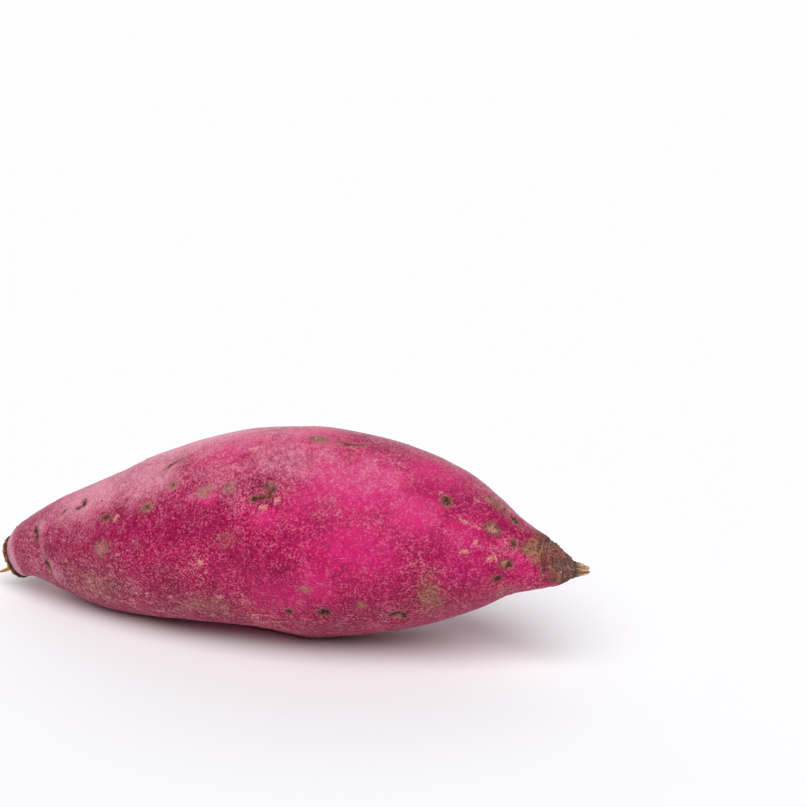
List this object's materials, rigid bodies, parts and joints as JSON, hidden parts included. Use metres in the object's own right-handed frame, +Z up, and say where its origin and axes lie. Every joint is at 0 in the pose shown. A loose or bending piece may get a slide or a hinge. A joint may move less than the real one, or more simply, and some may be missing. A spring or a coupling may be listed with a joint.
{
  "type": "sweet potato",
  "caption": "Whole red-skinned sweet potato root, a plump spindle with a corky stem scar at one end and a short snapped root tail at the other, lying on its belly.",
  "frame": {"origin": "middle of the small flat spot on the belly that the root rests on, under its weight", "axes": "+X runs along the root from the stem scar to the root tail, +Z points up from the surface it lies on, and -Y is the side that the picture shows best"},
  "size_m": [0.1794, 0.0579, 0.0571],
  "materials": {
    "sweet_potato_skin": "matt magenta-red skin with a faint waxy shine, tan corky ends and small dark rootlet scars"
  },
  "bodies": {
    "root": {"sweet_potato": "sweet_potato_skin"}
  },
  "joints": []
}
